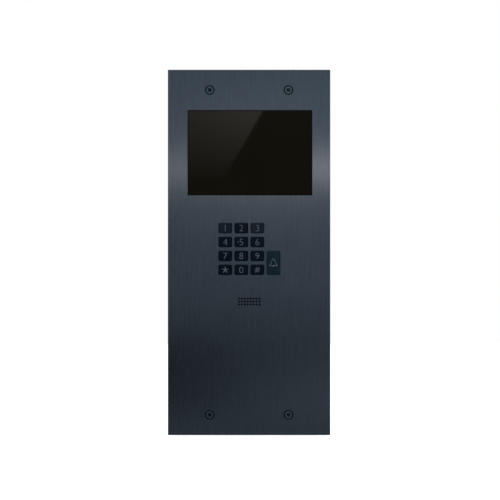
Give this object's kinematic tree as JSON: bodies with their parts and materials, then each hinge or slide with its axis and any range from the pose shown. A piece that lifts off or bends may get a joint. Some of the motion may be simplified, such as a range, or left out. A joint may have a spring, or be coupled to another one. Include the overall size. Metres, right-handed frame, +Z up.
{
  "type": "video intercom door station",
  "caption": "Flush-mounted video intercom panel: brushed dark metal plate with display glass, keypad, bell key and speaker grille, over a sheet-metal wall box.",
  "frame": {"origin": "centre of the front plate, on the wall plane where the gasket meets the wall", "axes": "+Z up, +X to the right seen from the front, -Y towards the visitor, +Y into the wall"},
  "size_m": [0.18, 0.0508, 0.405],
  "materials": {
    "plate_metal": "dark blue-black coating over vertical brushing, satin",
    "key_metal": "near-black blue, satin, finely brushed",
    "black_glass": "smoked, printed black behind, polished",
    "stainless": "plain stainless or tinned steel",
    "magnet_steel": "zinc-plated",
    "galvanised": "galvanised sheet and zinc-plated fasteners",
    "black_plastic": "moulded, matte",
    "grey_plastic": "moulded, matte",
    "green_plastic": "moulded",
    "blue_plastic": "moulded",
    "circuit_board": "glass-epoxy laminate with green solder mask",
    "rubber": "black moulded rubber",
    "foam": "closed-cell black foam",
    "silicone": "grey silicone",
    "cable_film": "flat flexible cable",
    "screen": "switched-off display",
    "cone_paper": "treated paper"
  },
  "bodies": {
    "panel": {"backplate_nut_bottom_left": "galvanised", "backplate_nut_bottom_right": "galvanised", "backplate_nut_top_left": "galvanised", "backplate_nut_top_right": "galvanised", "box_frame": "galvanised", "box_rear": "galvanised", "box_walls": "galvanised", "cable_grommet": "rubber", "camera_board": "circuit_board", "camera_holder": "black_plastic", "camera_lens": "black_plastic", "carrier_nut_bottom_left": "galvanised", "carrier_nut_bottom_right": "galvanised", "carrier_nut_top_left": "galvanised", "carrier_nut_top_right": "galvanised", "display_carrier": "black_plastic", "display_glass": "black_glass", "front_plate": "plate_metal", "front_screw_bottom_left": "stainless", "front_screw_bottom_right": "stainless", "front_screw_top_left": "stainless", "front_screw_top_right": "stainless", "glass_tape": "foam", "keypad_backplate": "galvanised", "keypad_board": "circuit_board", "keypad_membrane": "silicone", "keypad_ribbon": "cable_film", "lcd_frame": "stainless", "lcd_panel": "screen", "lock_relay": "blue_plastic", "main_board": "circuit_board", "microphone_boot": "rubber", "microphone_capsule": "stainless", "network_jack": "stainless", "processor_shield": "stainless", "rivet_nut_bottom_left": "galvanised", "rivet_nut_bottom_right": "galvanised", "rivet_nut_top_left": "galvanised", "rivet_nut_top_right": "galvanised", "speaker_basket": "stainless", "speaker_cone": "cone_paper", "speaker_magnet": "magnet_steel", "speaker_seal": "foam", "tamper_switch": "black_plastic", "terminal_block": "green_plastic", "wall_gasket": "foam"},
    "key_1": {"key_1": "key_metal"},
    "key_2": {"key_2": "key_metal"},
    "key_3": {"key_3": "key_metal"},
    "key_4": {"key_4": "key_metal"},
    "key_5": {"key_5": "key_metal"},
    "key_6": {"key_6": "key_metal"},
    "key_7": {"key_7": "key_metal"},
    "key_8": {"key_8": "key_metal"},
    "key_9": {"key_9": "key_metal"},
    "key_star": {"key_star": "key_metal"},
    "key_0": {"key_0": "key_metal"},
    "key_hash": {"key_hash": "key_metal"},
    "key_bell": {"key_bell": "key_metal"},
    "tamper_plunger": {"tamper_plunger": "grey_plastic"}
  },
  "joints": [
    {"name": "key_1_press", "type": "slide", "parent": "panel", "child": "key_1", "axis": [0, 1, 0], "range_m": [0, 0.0008], "stiffness_N_per_m": 800, "springref_m": -0.0005},
    {"name": "key_2_press", "type": "slide", "parent": "panel", "child": "key_2", "axis": [0, 1, 0], "range_m": [0, 0.0008], "stiffness_N_per_m": 800, "springref_m": -0.0005},
    {"name": "key_3_press", "type": "slide", "parent": "panel", "child": "key_3", "axis": [0, 1, 0], "range_m": [0, 0.0008], "stiffness_N_per_m": 800, "springref_m": -0.0005},
    {"name": "key_4_press", "type": "slide", "parent": "panel", "child": "key_4", "axis": [0, 1, 0], "range_m": [0, 0.0008], "stiffness_N_per_m": 800, "springref_m": -0.0005},
    {"name": "key_5_press", "type": "slide", "parent": "panel", "child": "key_5", "axis": [0, 1, 0], "range_m": [0, 0.0008], "stiffness_N_per_m": 800, "springref_m": -0.0005},
    {"name": "key_6_press", "type": "slide", "parent": "panel", "child": "key_6", "axis": [0, 1, 0], "range_m": [0, 0.0008], "stiffness_N_per_m": 800, "springref_m": -0.0005},
    {"name": "key_7_press", "type": "slide", "parent": "panel", "child": "key_7", "axis": [0, 1, 0], "range_m": [0, 0.0008], "stiffness_N_per_m": 800, "springref_m": -0.0005},
    {"name": "key_8_press", "type": "slide", "parent": "panel", "child": "key_8", "axis": [0, 1, 0], "range_m": [0, 0.0008], "stiffness_N_per_m": 800, "springref_m": -0.0005},
    {"name": "key_9_press", "type": "slide", "parent": "panel", "child": "key_9", "axis": [0, 1, 0], "range_m": [0, 0.0008], "stiffness_N_per_m": 800, "springref_m": -0.0005},
    {"name": "key_star_press", "type": "slide", "parent": "panel", "child": "key_star", "axis": [0, 1, 0], "range_m": [0, 0.0008], "stiffness_N_per_m": 800, "springref_m": -0.0005},
    {"name": "key_0_press", "type": "slide", "parent": "panel", "child": "key_0", "axis": [0, 1, 0], "range_m": [0, 0.0008], "stiffness_N_per_m": 800, "springref_m": -0.0005},
    {"name": "key_hash_press", "type": "slide", "parent": "panel", "child": "key_hash", "axis": [0, 1, 0], "range_m": [0, 0.0008], "stiffness_N_per_m": 800, "springref_m": -0.0005},
    {"name": "key_bell_press", "type": "slide", "parent": "panel", "child": "key_bell", "axis": [0, 1, 0], "range_m": [0, 0.0008], "stiffness_N_per_m": 800, "springref_m": -0.0005},
    {"name": "tamper_plunger_slide", "type": "slide", "parent": "panel", "child": "tamper_plunger", "axis": [0, 1, 0], "range_m": [-0.0008, 0], "stiffness_N_per_m": 300, "springref_m": 0.003}
  ]
}
